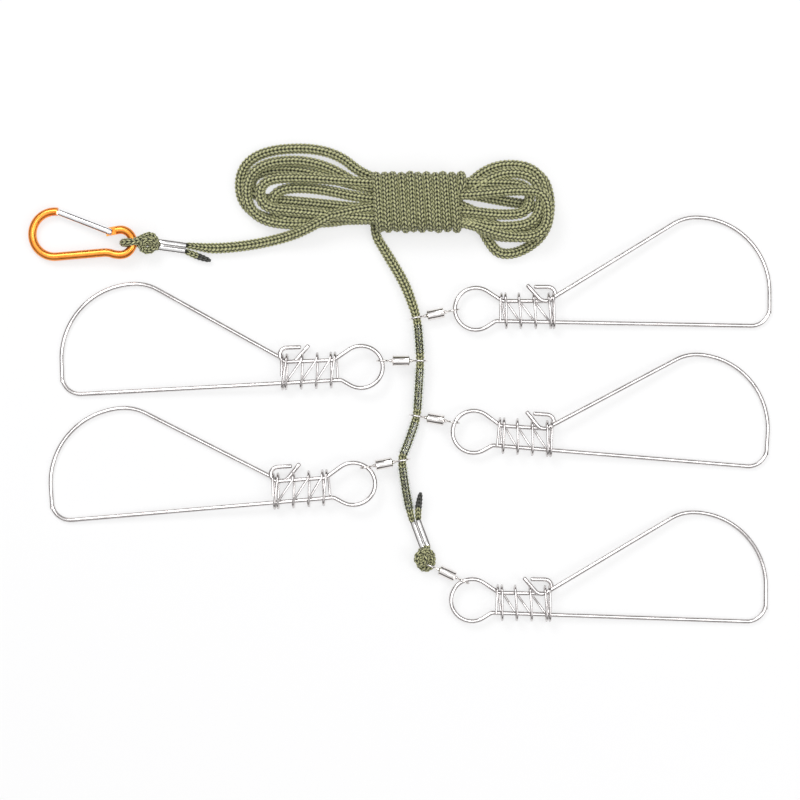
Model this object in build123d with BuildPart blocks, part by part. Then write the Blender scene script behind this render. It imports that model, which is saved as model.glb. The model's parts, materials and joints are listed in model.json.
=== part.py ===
"""Fish stringer laid out flat: a wound cord with a carabiner, five barrel swivels and five wire snaps.

Millimetres, +Z up, standing on Z = 0. X runs to the right and Y away from the person who holds the snaps.
"""
from math import acos, asin, cos, degrees, pi, radians, sin, sqrt, tan
import os

import numpy as np

from build123d import *

os.makedirs("parts", exist_ok=True)

# Cord
CORD_D = 4.8  # free cord, as braided
DRAWN_D = 3.7  # cord drawn thin inside the spacer tubes
LOOP_D = 3.6  # cord pulled tight round an eye loop
TAIL_D = 3.2  # singed cord end
TAIL_TIP_R = 1.1  # rounding of the melted tip
TAIL_LIFT = 0.6  # the lower tail points up a little
CORNER_SHARE = 0.45  # of the shorter run, taken by the arc at a corner
FIT = 0.3  # gap between curved pieces that lie against each other

# Wound hank and the wrap round its waist
HANK_D = 3.8
HANK_PITCH = 4.25  # strand to strand across the waist
HANK_LAYER = 4.75  # layer to layer
WRAP_D = 3.4
WRAP_PITCH = 3.83
WRAP_TURNS = 10
WRAP_TURN_IN = 3.7  # width of the bend into the first turn
WRAP_START_U = 21.4  # first turn, right of the waist's middle
WAIST_HALF = 19.5  # straight half length of the strands at the waist
HANK_AT = (7.1, 98.9)  # middle of the wrap

# Pressed sleeves
SLEEVE_LENGTH = 13.0
SLEEVE_BORE = 2.7
SLEEVE_WALL = 0.65
SLEEVE_PITCH = 3.9  # between the two bores
PRESS_CLEAR = 0.05
NECK_OUT = 1.8  # pressed cord that shows past a sleeve's end

# Spacer tubes
SPACER_OD = 4.4
SPACER_WALL = 0.25
SPACER_BACK = 3.6  # from a swivel eye's plane to the tube's end
LAST_SPACER_BACK = 4.7  # from the last tube's end to the cord's neck

# Barrel swivels
EYE_WIRE = 0.9
CORD_EYE_R = 3.2  # to the middle of the wire
SNAP_EYE_R = 2.65
SHANK_R = 0.8
SHANK_OUT = 2.2  # from an eye's wire to the barrel
BARREL_LENGTH = 6.8
BARREL_R = 2.2
BARREL_WAIST_R = 1.95
BARREL_COLLAR = 1.1
BARREL_WALL = 0.6
BARREL_END = 0.8
HEAD_R = 1.5
HEAD_LENGTH = 0.9
RUN_CLEAR = 0.05

# Wire snaps, in the plane of one snap: ring at the origin, legs along x, hook side along y
WIRE_D = 2.0
RING_R = 9.65
RING_OPEN = 57.0  # half angle where the ring gives way to the legs
LEG_TOP = 3.6
LEG_LOW = -5.6
NECK_R = 3.0
RING_FIT = 0.4  # gap between the ring and the swivel's eye
HOOK_R = 3.25
HOOK_X = 33.2  # where the hook's bend starts
HOOK_BAR = 6.6
ARM_FALL = 1.04  # slope of the bottom arm
FAR_X = 135.0  # the far upright
FAR_CORNER_R = 8.4
HINGE_Y = 3.0  # where the spring arm starts to flex
UPRIGHT = 5.0
BOW_R = 34.0
CROWN_R = 20.0
SLANT = 31.6  # slope of the spring arm's long run
SLANT_LENGTH = 69.9
V_R = 4.0
V_TIP = (-7.7, 8.6)  # from the V's corner to its tip
ARM_LIFT = 1.3  # the spring arm's plane leans up to pass in front of the hook

# Lock coils
COIL_WIRE = 1.1
COIL_TOP = 6.1
COIL_LOW = -8.4
COIL_BACK = -1.9
COIL_FRONT = 4.25
COIL_X = (12.9, 14.9, 19.6, 24.4, 31.0, 33.0)  # where the turns cross the hook side

# Carabiner, in its own plane: origin at the middle of the small end
ROD_D = 3.9
SMALL_R = 5.75
BIG_R = 10.35
BIG_AT = (-30.6, 3.86)
SPINE_SLOPE = 4.6
SPINE_END_X = -8.0
NOSE_ANGLE = 82.4
SMALL_START = -88.0
SMALL_END = 100.0
POST_LENGTH = 4.3  # from the small end's arc to the gate's pivot
TONGUE = 1.5
TONGUE_CLEAR = 0.1
TONGUE_BACK = 3.2
GATE_D = 3.5
GATE_GAP = 0.85  # gate end to the nose
GATE_TIP = 1.9
GATE_TIP_W = 1.2
NOSE_SLOT = 1.8
NOSE_SLOT_DEPTH = 3.0
NOSE_WALL = 0.95  # left outside the slot
PIN_D = 1.2
PIN_HEAD = 0.3
SPRING_BORE = 1.9
SPRING_WIRE = 0.35
SPRING_TURNS = 5
SPRING_PITCH = 0.95

# Layout on the table
# Swivels 1 to 4 on the cord: place, and how far the cord is lifted off its lowest height
TRUNK = [(7.8, 45.1, 0.0), (9.2, 25.3, 1.9), (7.8, 0.0, 0.0), (0.9, -20.2, 1.9)]
TRUNK_BEND_R = 11.5
TRUNK_LEAD = 4.0  # cord above swivel 1
LOW_SLEEVE_AT = (7.1, -48.2)
LOW_SLEEVE_HEADING = -69.6
LOW_LOOP_AT = (10.6, -67.0)
LOW_LOOP_R = 3.4
LOW_LOOP_IN = 195.0
LOW_LOOP_OUT = 20.0
LOW_EYE_ANGLE = -25.0
UP_SLEEVE_AT = (-98.4, 77.05)
UP_SLEEVE_HEADING = 172.2
CARABINER_AT = (-128.05, 79.6)
LEAD = [(-85.1, 76.8), (-71.3, 78.0), (-57.5, 80.9), (-46.0, 84.2)]
LEAD_END = (-32.9, 87.4)
DROP_START = (-9.4, 79.9)
DROP = [(-6.0, 74.4), (-2.8, 69.2), (1.2, 62.4), (4.3, 55.4)]
UP_TAIL = (-87.4, 71.2)
LOW_TAIL = [(8.6, -42.0), (9.5, -35.4)]

# Swivel heading, its rise, heading from the eye to the snap's ring, snap heading, turned over
BRANCHES = [
    (11.3, 0.0, 3.6, 0.0, False),
    (180.0, 3.0, 196.9, 182.1, True),
    (-9.5, 3.0, -26.6, -3.7, False),
    (190.7, 3.0, 232.3, 184.0, True),
    (-25.0, 0.0, -66.0, -1.0, False),
]

# Worked out sizes
wire_r = WIRE_D / 2
eye_outer = CORD_EYE_R + EYE_WIRE / 2
cord_z = eye_outer  # the eyes on the cord rest on the table
barrel_near = CORD_EYE_R + SHANK_OUT
barrel_far = barrel_near + BARREL_LENGTH
snap_eye_at = barrel_far + SHANK_OUT + SNAP_EYE_R
sleeve_h = SLEEVE_BORE + 2 * SLEEVE_WALL
up_loop_r = ROD_D / 2 + FIT + LOOP_D / 2
rod_z = LOOP_D / 2 + up_loop_r
wrap_low = WRAP_D / 2
layer_low = WRAP_D + FIT + HANK_D / 2
layer_high = layer_low + HANK_LAYER
wrap_high = layer_high + HANK_D / 2 + FIT + WRAP_D / 2


def flat(angle):
    """Unit vector on the table at an angle from +X."""
    return Vector(cos(radians(angle)), sin(radians(angle)), 0)


def at(point, z):
    """A point of the layout at a height."""
    return Vector(point[0], point[1], z)


def straight(start, along, tolerance=1e-6):
    """True where a vector has no part across a direction."""
    return (along - start * along.dot(start)).length < tolerance


def biarc(p0, t0, p1, t1):
    """Two tangent arcs, or a line, from one point and direction to the next."""
    chord = p1 - p0
    if straight(t0, chord) and straight(t1, chord):
        Line(p0, p1)
        return
    both = t0 + t1
    spread = 2 * (1 - t0.dot(t1))
    if spread < 1e-6:
        reach = chord.dot(chord) / (4 * chord.dot(t1))
    else:
        lean = chord.dot(both)
        reach = (sqrt(lean**2 + spread * chord.dot(chord)) - lean) / spread
    middle = (p0 + p1 + (t0 - t1) * reach) * 0.5
    turn = (chord - both * reach).normalized()
    for start, heading, end in ((p0, t0, middle), (middle, turn, p1)):
        if straight(heading, end - start):
            Line(start, end)
        else:
            TangentArc(start, end, tangent=heading)


def knot_path(knots):
    """A smooth path through points, each with its direction."""
    with BuildLine() as path:
        for (p0, t0), (p1, t1) in zip(knots, knots[1:]):
            biarc(p0, t0.normalized(), p1, t1.normalized())
    return path.wire()


def run_path(points, radii):
    """Straight runs joined by tangent arcs."""
    with BuildLine() as path:
        FilletPolyline(*points, radius=radii)
    return path.wire()


def cord_radii(name, points):
    """The largest arc that each corner of a cord's route has room for, printed."""
    radii = []
    for before, corner, after in zip(points, points[1:], points[2:]):
        run_in = corner - before
        run_out = after - corner
        turn = radians(run_in.get_angle(run_out))
        radii.append(CORNER_SHARE * min(run_in.length, run_out.length) / tan(turn / 2))
    print(name, "radii", [round(r, 1) for r in radii])
    return radii


def tube(path, diameter, necks=(), tip=None):
    """A round cord or wire along a path, with the necks of cord that sleeves press thin, and a melted tip."""
    with BuildPart() as piece:
        with BuildSketch(Plane(origin=path @ 0, z_dir=path % 0)):
            Circle(diameter / 2)
        sweep(path=path)
        by_length = pi / 4 * diameter**2 * path.length
        print("tube volume", round(piece.part.volume, 1), "section by length", round(by_length, 1))
        if tip:
            ends = piece.faces().filter_by(GeomType.PLANE)
            fillet(ends.sort_by_distance(tip)[0].edges(), TAIL_TIP_R)
        for start, direction, length in necks:
            with BuildSketch(Plane(origin=start, z_dir=direction)):
                Circle(SLEEVE_BORE / 2 - PRESS_CLEAR)
            extrude(amount=length)
    return piece


def own_gap(name, path, diameter, step=0.6):
    """Prints the least gap between a wound tube and itself, measured on points."""
    count = int(path.length / step)
    points = np.array([tuple(path @ (i / count)) for i in range(count + 1)])
    apart = int(pi * diameter / step)
    least = min(
        np.linalg.norm(points[i + apart :] - points[i], axis=1).min() for i in range(count - apart)
    )
    print(name, "length", round(path.length, 1), "least gap to itself", round(least - diameter, 2))


def save(piece, name):
    """Labels a finished piece and writes it."""
    piece.part.label = name
    export_step(piece.part, f"parts/{name}.step")


# Pressed sleeves: two bores side by side
def sleeve_frame(point, heading, z):
    """A sleeve's mouth, its direction and the step from its middle to a bore."""
    along = flat(heading)
    across = flat(heading + 90) * (SLEEVE_PITCH / 2)
    return at(point, z), along, across


def make_sleeve(point, heading, z):
    mouth, along, across = sleeve_frame(point, heading, z)
    with BuildPart() as sleeve:
        with BuildSketch(Plane(origin=mouth, x_dir=across, z_dir=along)):
            SlotCenterToCenter(SLEEVE_PITCH, sleeve_h)
            with GridLocations(SLEEVE_PITCH, 1, 2, 1):
                Circle(SLEEVE_BORE / 2, mode=Mode.SUBTRACT)
        extrude(amount=SLEEVE_LENGTH)
    return sleeve


up_z = CORD_D / 2
up_mouth, up_along, up_across = sleeve_frame(UP_SLEEVE_AT, UP_SLEEVE_HEADING, up_z)
low_mouth, low_along, low_across = sleeve_frame(LOW_SLEEVE_AT, LOW_SLEEVE_HEADING, cord_z)
save(make_sleeve(UP_SLEEVE_AT, UP_SLEEVE_HEADING, up_z), "upper_sleeve")
save(make_sleeve(LOW_SLEEVE_AT, LOW_SLEEVE_HEADING, cord_z), "lower_sleeve")

# Upper eye loop: over the carabiner's rod, down inside it and back underneath
rod_at = at(CARABINER_AT, rod_z) + Vector(SMALL_R, 0, 0)
up_end = up_mouth + up_along * SLEEVE_LENGTH
up_loop_path = knot_path(
    [
        (up_end - up_across, up_along),
        (rod_at + Vector(0, 0, up_loop_r), up_along),
        (rod_at + up_along * up_loop_r, Vector(0, 0, -1)),
        (rod_at - Vector(0, 0, up_loop_r), -up_along),
        (up_end + up_across, -up_along),
    ]
)
up_necks = [(up_end + side, -up_along, SLEEVE_LENGTH / 2) for side in (-up_across, up_across)]
save(tube(up_loop_path, LOOP_D, up_necks), "upper_eye_loop")

# Lower eye loop, through the eye of swivel 5
low_end = low_mouth + low_along * SLEEVE_LENGTH
loop_middle = at(LOW_LOOP_AT, cord_z)


def on_low_loop(angle):
    """Point and direction on the lower loop, going round to the left."""
    return loop_middle + flat(angle) * LOW_LOOP_R, flat(angle + 90)


low_loop_path = knot_path(
    [
        (low_end - low_across, low_along),
        on_low_loop(LOW_LOOP_IN),
        on_low_loop(270),
        on_low_loop(LOW_EYE_ANGLE),
        on_low_loop(LOW_LOOP_OUT),
        (low_end + low_across, -low_along),
    ]
)
low_necks = [(low_end + side, -low_along, SLEEVE_LENGTH / 2) for side in (-low_across, low_across)]
save(tube(low_loop_path, LOOP_D, low_necks), "lower_eye_loop")


# Singed tails
def make_tail(mouth, along, points):
    """A short cord end out of a sleeve, with its tip melted round."""
    start = mouth - along * NECK_OUT
    route = [start] + points
    if len(route) > 2:
        path = run_path(route, cord_radii("tail", route))
    else:
        path = knot_path([(start, points[0] - start), (points[0], points[0] - start)])
    neck = (start, along, NECK_OUT + SLEEVE_LENGTH / 2)
    return tube(path, TAIL_D, [neck], tip=points[-1])


save(make_tail(up_mouth + up_across, up_along, [at(UP_TAIL, TAIL_D / 2)]), "upper_tail")
low_tail_route = [at(p, cord_z + TAIL_LIFT) for p in LOW_TAIL]
save(make_tail(low_mouth + low_across, low_along, low_tail_route), "lower_tail")

# Lead, from the upper sleeve to the hank
lead_start = up_mouth - up_across - up_along * NECK_OUT
lead_route = [lead_start] + [at(p, CORD_D / 2) for p in LEAD] + [at(LEAD_END, CORD_D / 2)]
lead_neck = (lead_start, up_along, NECK_OUT + SLEEVE_LENGTH / 2)
save(tube(run_path(lead_route, cord_radii("lead", lead_route)), CORD_D, [lead_neck]), "cord_lead")

# Trunk, straight from swivel to swivel, with a small bend in each eye
trunk_corners = [at(p, cord_z + p[2]) for p in TRUNK]
drop_last = at(DROP[-1], cord_z)
trunk_start = trunk_corners[0] + (drop_last - trunk_corners[0]).normalized() * TRUNK_LEAD
trunk_end = low_mouth - low_across - low_along * NECK_OUT
trunk_route = [trunk_start] + trunk_corners + [trunk_end]
trunk_neck = (trunk_end, low_along, NECK_OUT + SLEEVE_LENGTH / 2)
save(tube(run_path(trunk_route, TRUNK_BEND_R), DRAWN_D, [trunk_neck]), "cord_trunk")

# Drop, from the wrap to the trunk
drop_first = at(DROP_START, CORD_D / 2)
drop_rise = (cord_z - CORD_D / 2) / (len(DROP) - 1)
drop_corners = [at(p, CORD_D / 2 + drop_rise * i) for i, p in enumerate(DROP)]
drop_route = [drop_first] + drop_corners + [trunk_start]
save(tube(run_path(drop_route, cord_radii("drop", drop_route)), CORD_D), "cord_drop")


# Hank: strands through the waist, fanned out in a lobe at each end
def in_hank(u, v, z):
    """A point along, across and above the hank."""
    return Vector(HANK_AT[0] + u, HANK_AT[1] + v, z)


ALONG = Vector(1, 0, 0)
ACROSS = Vector(0, 1, 0)
LOBE_LOW = HANK_D / 2
LOBE_HIGH = LOBE_LOW + HANK_LAYER
LEFT_SHOULDER = -52.0
RIGHT_SHOULDER = 42.0
# Each lobe turn, as the cord was wound: shoulder it leaves by, its apex, shoulder it comes back by
RIGHT_TURNS = [
    (-20.5, (59.0, -4.0), 16.5),
    (-11.5, (52.0, -1.5), 9.5),
    (-4.5, (47.5, 0.2), 4.9),
    (-10.2, (55.5, 0.5), 12.5),
]
LAST_TURN = (-17.4, (58.0, -7.5), -1.0)
LAST_V = -2.5  # where it goes into the wrap
LEFT_TURNS = [
    (22.5, (-79.0, 6.0), -8.0),
    (12.5, (-68.0, 4.0), -2.5),
    (8.0, (-60.5, 1.5), -5.0),
    (17.5, (-73.5, 4.5), -11.0),
]
# Waist strands in pitches from the middle: below and above, in the order that the cord was wound
LOWER_SLOTS = (-2, -1, 0, -1, -2)
UPPER_SLOTS = (2, 1, 1, 2)
CLIMB = 2  # the strand on which the winding goes up a layer


def lobe(shoulder, turn, z, side):
    """Out of the waist, round one lobe and back, in one layer."""
    out, apex, back = turn
    return [
        (in_hank(shoulder, out, z), ALONG * side),
        (in_hank(*apex, z), ACROSS * side),
        (in_hank(shoulder, back, z), ALONG * -side),
    ]


hank_knots = [(at(LEAD_END, CORD_D / 2), at(LEAD_END, 0) - at(LEAD[-1], 0))]
hank_knots.append((hank_knots[0][0] + hank_knots[0][1].normalized() * HANK_D, hank_knots[0][1]))
for i, slot in enumerate(LOWER_SLOTS):
    left_z = layer_low if i <= CLIMB else layer_high
    right_z = layer_low if i < CLIMB else layer_high
    lobe_z = LOBE_LOW if i < CLIMB else LOBE_HIGH
    hank_knots.append((in_hank(-WAIST_HALF, slot * HANK_PITCH, left_z), ALONG))
    hank_knots.append((in_hank(WAIST_HALF, slot * HANK_PITCH, right_z), ALONG))
    if i == len(UPPER_SLOTS):
        break
    hank_knots += lobe(RIGHT_SHOULDER, RIGHT_TURNS[i], lobe_z, 1)
    up_slot = UPPER_SLOTS[i] * HANK_PITCH
    hank_knots.append((in_hank(WAIST_HALF, up_slot, right_z), -ALONG))
    hank_knots.append((in_hank(-WAIST_HALF, up_slot, right_z), -ALONG))
    hank_knots += lobe(LEFT_SHOULDER, LEFT_TURNS[i], lobe_z, -1)
# The last turn climbs over the right lobe to the first turn of the wrap
last_out, last_apex, last_back = LAST_TURN
hank_knots += [
    (in_hank(RIGHT_SHOULDER, last_out, LOBE_HIGH), ALONG),
    (in_hank(*last_apex, LOBE_HIGH + HANK_LAYER), ACROSS),
    (in_hank(RIGHT_SHOULDER, last_back, LOBE_HIGH + HANK_LAYER), -ALONG),
    (in_hank(WRAP_START_U + 3 * WRAP_D, LAST_V, wrap_high), -ALONG),
    (in_hank(WRAP_START_U + 2 * WRAP_D, LAST_V, wrap_high), -ALONG),
]
hank_path = knot_path(hank_knots)
own_gap("hank", hank_path, HANK_D)
save(tube(hank_path, HANK_D), "cord_hank")

# Wrap: turns close together round the waist, wound from right to left
corner_r = HANK_D / 2 + FIT + WRAP_D / 2
wrap_half = max(abs(s) for s in LOWER_SLOTS) * HANK_PITCH + corner_r
side_v = wrap_half - corner_r
side_low = wrap_low + corner_r
side_high = wrap_high - corner_r
UP = Vector(0, 0, 1)
WRAP_OUT = 5  # the cord leaves by this point of the section, underneath
wrap_round = [
    (-side_v, wrap_high, ACROSS),
    (side_v, wrap_high, ACROSS),
    (wrap_half, side_high, -UP),
    (wrap_half, side_low, -UP),
    (side_v, wrap_low, -ACROSS),
    (-side_v, wrap_low, -ACROSS),
    (-wrap_half, side_low, UP),
    (-wrap_half, side_high, UP),
]


def round_lengths(section):
    """Length from each point of a rounded section to the next, arcs counted as arcs."""
    lengths = []
    for (y0, z0, t0), (y1, z1, t1) in zip(section, section[1:] + section[:1]):
        chord = sqrt((y1 - y0) ** 2 + (z1 - z0) ** 2)
        turn = acos(max(-1.0, min(1.0, t0.dot(t1))))
        lengths.append(chord if turn < 1e-6 else chord * turn / 2 / sin(turn / 2))
    return lengths


wrap_lengths = round_lengths(wrap_round)
turn_length = sum(wrap_lengths)
wrap_slope = -WRAP_PITCH / turn_length
wrap_first_v = LAST_V + WRAP_TURN_IN
wrap_knots = [
    (in_hank(WRAP_START_U + 2 * WRAP_D, LAST_V, wrap_high), -ALONG),
    (in_hank(WRAP_START_U + WRAP_D, LAST_V, wrap_high), -ALONG),
    (in_hank(WRAP_START_U, wrap_first_v, wrap_high), ACROSS + ALONG * wrap_slope),
]
u = WRAP_START_U + wrap_slope * (side_v - wrap_first_v)
sides = len(wrap_round)
for i in range(1, sides * WRAP_TURNS + WRAP_OUT + 1):
    v, z, heading = wrap_round[i % sides]
    wrap_knots.append((in_hank(u, v, z), heading + ALONG * wrap_slope))
    u += wrap_slope * wrap_lengths[i % sides]
drop_heading = at(DROP[0], 0) - at(DROP_START, 0)
wrap_knots += [
    (drop_first - drop_heading.normalized() * WRAP_D, drop_heading),
    (drop_first, drop_heading),
]
wrap_path = knot_path(wrap_knots)
own_gap("wrap", wrap_path, WRAP_D)
save(tube(wrap_path, WRAP_D), "cord_wrap")

# Spacer tubes on the straight runs of the trunk
for i, start in enumerate(trunk_corners):
    last = i == len(trunk_corners) - 1
    end = trunk_end if last else trunk_corners[i + 1]
    along = (end - start).normalized()
    with BuildPart() as spacer:
        with BuildSketch(Plane(origin=start + along * SPACER_BACK, z_dir=along)):
            Circle(SPACER_OD / 2)
            Circle(SPACER_OD / 2 - SPACER_WALL, mode=Mode.SUBTRACT)
        back = LAST_SPACER_BACK if last else SPACER_BACK
        extrude(amount=(end - start).length - SPACER_BACK - back)
    save(spacer, f"spacer_{i + 1}")


# Swivels and snaps
def eye_seat(i):
    """Where the eye of a swivel holds the cord, and the cord's direction there."""
    if i == len(TRUNK):
        return on_low_loop(LOW_EYE_ANGLE)
    before, corner, after = trunk_route[i], trunk_route[i + 1], trunk_route[i + 2]
    run_in = (corner - before).normalized()
    run_out = (after - corner).normalized()
    inward = run_out - run_in
    half_turn = radians(run_in.get_angle(run_out)) / 2
    sag = TRUNK_BEND_R * (1 / cos(half_turn) - 1)
    return corner + inward.normalized() * sag, (run_in + run_out).normalized()


def make_eye(middle, axis, normal, ring_r):
    """A wire eye with its shank through the barrel's end and its head inside."""
    head_start = ring_r + SHANK_OUT + BARREL_END + 2 * RUN_CLEAR
    head_end = head_start + HEAD_LENGTH
    with BuildPart() as eye:
        with BuildSketch(Plane(origin=middle, x_dir=axis, z_dir=axis.cross(normal))):
            with Locations((ring_r, 0)):
                Circle(EYE_WIRE / 2)
        revolve(axis=Axis(middle, normal))
        with BuildSketch(Plane(origin=middle, x_dir=axis, z_dir=normal)):
            with BuildLine():
                Polyline(
                    (ring_r, 0),
                    (ring_r, EYE_WIRE / 2),
                    (ring_r + EYE_WIRE, SHANK_R),
                    (head_start, SHANK_R),
                    (head_start, HEAD_R),
                    (head_end, HEAD_R),
                    (head_end, 0),
                    close=True,
                )
            make_face()
        revolve(axis=Axis(middle, axis))
    return eye


def make_barrel(start, axis):
    """The swivel's barrel: hollow, with a collar and a hole at each end."""
    across = axis.cross(Vector(0, 0, 1)).normalized()
    hole_r = SHANK_R + RUN_CLEAR
    cavity_r = BARREL_R - BARREL_WALL
    far = BARREL_LENGTH
    with BuildPart() as barrel:
        with BuildSketch(Plane(origin=start, x_dir=axis, z_dir=across)):
            with BuildLine():
                Polyline(
                    (0, hole_r),
                    (0, BARREL_R - BARREL_END / 2),
                    (BARREL_END / 2, BARREL_R),
                    (BARREL_COLLAR, BARREL_R),
                    (BARREL_COLLAR + BARREL_R - BARREL_WAIST_R, BARREL_WAIST_R),
                    (far - BARREL_COLLAR - BARREL_R + BARREL_WAIST_R, BARREL_WAIST_R),
                    (far - BARREL_COLLAR, BARREL_R),
                    (far - BARREL_END / 2, BARREL_R),
                    (far, BARREL_R - BARREL_END / 2),
                    (far, hole_r),
                    (far - BARREL_END, hole_r),
                    (far - BARREL_END, cavity_r),
                    (BARREL_END, cavity_r),
                    (BARREL_END, hole_r),
                    close=True,
                )
            make_face()
        revolve(axis=Axis(start, axis))
    return barrel


def snap_plane(meet, ring_heading, heading, turned_over):
    """The plane of one snap, from where its ring hangs in the swivel's eye to the table at its far end."""
    lean = cos(radians(ring_heading - heading))
    tilt = degrees(asin((meet.Z - wire_r) / (FAR_X + RING_R * lean)))
    along = flat(heading) * cos(radians(tilt)) - UP * sin(radians(tilt))
    left = flat(heading + 90)
    spoke = along * lean + left * sin(radians(ring_heading - heading))
    normal = along.cross(left)
    return Plane(origin=meet + spoke * RING_R, x_dir=along, z_dir=-normal if turned_over else normal)


def make_frame_wire(plane):
    """Hook, legs, ring and bottom arm of a snap, bent from one wire."""
    open_x = RING_R * cos(radians(RING_OPEN))
    open_y = RING_R * sin(radians(RING_OPEN))
    slope = tan(radians(90 - RING_OPEN))
    neck_top = (open_x + (open_y - LEG_TOP) / slope, LEG_TOP)
    neck_low = (open_x + (open_y + LEG_LOW) / slope, LEG_LOW)
    corner_y = LEG_LOW - (FAR_X - neck_low[0]) * tan(radians(ARM_FALL))
    end_y = HINGE_Y - wire_r - 2 * RUN_CLEAR
    hook_top = LEG_TOP + 2 * HOOK_R
    with BuildPart() as frame_wire:
        with BuildLine(plane) as path:
            Line((HOOK_X - HOOK_BAR, hook_top), (HOOK_X, hook_top))
            CenterArc((HOOK_X, LEG_TOP + HOOK_R), HOOK_R, 90, -180)
            FilletPolyline((HOOK_X, LEG_TOP), neck_top, (open_x, open_y), radius=NECK_R)
            CenterArc((0, 0), RING_R, RING_OPEN, 360 - 2 * RING_OPEN)
            FilletPolyline(
                (open_x, -open_y),
                neck_low,
                (FAR_X, corner_y),
                (FAR_X, end_y),
                radius=[NECK_R, FAR_CORNER_R],
            )
        start = plane.from_local_coords(Vector(HOOK_X - HOOK_BAR, hook_top, 0))
        with BuildSketch(Plane(origin=start, z_dir=plane.x_dir)):
            Circle(wire_r)
        sweep(path=path.wire())
        ends = frame_wire.faces().filter_by(GeomType.PLANE)
        fillet(ends.sort_by_distance(start)[0].edges(), wire_r / 2)
    return frame_wire


def arm_plane(plane):
    """The spring arm's plane, at its flexing point, leaning out to clear the hook."""
    lift = radians(ARM_LIFT)
    hinge = plane.from_local_coords(Vector(FAR_X, HINGE_Y, 0))
    return Plane(
        origin=hinge,
        x_dir=plane.x_dir * cos(lift) - plane.z_dir * sin(lift),
        z_dir=plane.x_dir * sin(lift) + plane.z_dir * cos(lift),
    )


def make_spring_arm(plane):
    """Upright, bow, long slant and V end of a snap, with a ball at its flexing point."""
    bow_at = (-BOW_R, UPRIGHT)
    crown_at = (-BOW_R, UPRIGHT + BOW_R - CROWN_R)
    slant_start = Vector(*crown_at) + flat(90 + SLANT) * CROWN_R
    v_corner = slant_start + flat(180 + SLANT) * SLANT_LENGTH
    v_tip = v_corner + Vector(*V_TIP)
    with BuildPart() as spring_arm:
        with BuildLine(plane) as path:
            Line((0, 0), (0, UPRIGHT))
            CenterArc(bow_at, BOW_R, 0, 90)
            CenterArc(crown_at, CROWN_R, 90, SLANT)
            FilletPolyline(tuple(slant_start), tuple(v_corner), tuple(v_tip), radius=V_R)
        with BuildSketch(Plane(origin=plane.origin, z_dir=plane.y_dir)):
            Circle(wire_r)
        sweep(path=path.wire())
        tip = plane.from_local_coords(v_tip)
        ends = spring_arm.faces().filter_by(GeomType.PLANE)
        fillet(ends.sort_by_distance(tip)[0].edges(), wire_r / 2)
        with Locations(plane.origin):
            Sphere(wire_r)
    return spring_arm


def coil_knots(plane):
    """Turns of a lock coil round the legs: closed at both ends, open between."""
    half = (COIL_FRONT - COIL_BACK) / 2
    mid_z = (COIL_FRONT + COIL_BACK) / 2
    top = COIL_TOP - half
    low = COIL_LOW + half
    side = top - low
    arc = pi * half / 2
    knots = []
    crossings = []
    for x0, x1 in zip(COIL_X, COIL_X[1:]):
        crossings += [x0, (x0 + x1) / 2]
    crossings.append(COIL_X[-1])
    half_turn = side + 2 * arc
    slopes = [(b - a) / half_turn for a, b in zip(crossings, crossings[1:])]
    first = slopes[0]
    places = [(crossings[0] - first * (arc + side), low, half, 1, first)]
    places.append((crossings[0] - first * arc, top, half, 1, first))
    for i, slope in enumerate(slopes):
        down = i % 2 == 0
        face = -half if down else half
        heading = -1 if down else 1
        near, far = (top, low) if down else (low, top)
        places.append((crossings[i] + slope * arc, near, face, heading, slope))
        places.append((crossings[i] + slope * (arc + side), far, face, heading, slope))
    for x, y, depth, heading, slope in places:
        point = plane.from_local_coords(Vector(x, y, mid_z + depth))
        knots.append((point, plane.y_dir * heading + plane.x_dir * slope))
    return knots


for i, (swivel_heading, rise, ring_heading, heading, turned_over) in enumerate(BRANCHES):
    number = i + 1
    eye_at, cord_along = eye_seat(i)
    axis = flat(swivel_heading) * cos(radians(rise)) + UP * sin(radians(rise))
    cord_normal = (cord_along - axis * cord_along.dot(axis)).normalized()
    snap_normal = flat(swivel_heading + 90)
    snap_eye_middle = eye_at + axis * snap_eye_at
    cord_eye = make_eye(eye_at, axis, cord_normal, CORD_EYE_R)
    snap_eye = make_eye(snap_eye_middle, -axis, snap_normal, SNAP_EYE_R)
    save(cord_eye, f"cord_eye_{number}")
    save(make_barrel(eye_at + axis * barrel_near, axis), f"swivel_barrel_{number}")
    save(snap_eye, f"snap_eye_{number}")

    # The ring lies in the eye's far side, with room for its own curve where it crosses at a slant
    skew = radians(ring_heading - swivel_heading)
    sag = (SNAP_EYE_R * sin(skew)) ** 2 / (2 * RING_R)
    seat = SNAP_EYE_R - (wire_r + EYE_WIRE / 2 + RING_FIT + sag) / cos(skew)
    plane = snap_plane(snap_eye_middle + axis * seat, ring_heading, heading, turned_over)
    save(make_frame_wire(plane), f"snap_wire_{number}")
    save(make_spring_arm(arm_plane(plane)), f"spring_arm_{number}")
    coil_path = knot_path(coil_knots(plane))
    if number == 1:
        own_gap("lock coil", coil_path, COIL_WIRE)
    save(tube(coil_path, COIL_WIRE), f"lock_coil_{number}")

# Carabiner: big end on the table, small end lifted by the cord's loop
big_left = BIG_AT[0] - BIG_R
carabiner_tilt = asin((rod_z - ROD_D / 2) / (SMALL_R - big_left))
carabiner_x = Vector(cos(carabiner_tilt), 0, sin(carabiner_tilt))
carabiner_z = Vector(-sin(carabiner_tilt), 0, cos(carabiner_tilt))
carabiner_at = rod_at - carabiner_x * SMALL_R
carabiner = Plane(origin=carabiner_at, x_dir=carabiner_x, z_dir=carabiner_z)

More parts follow.
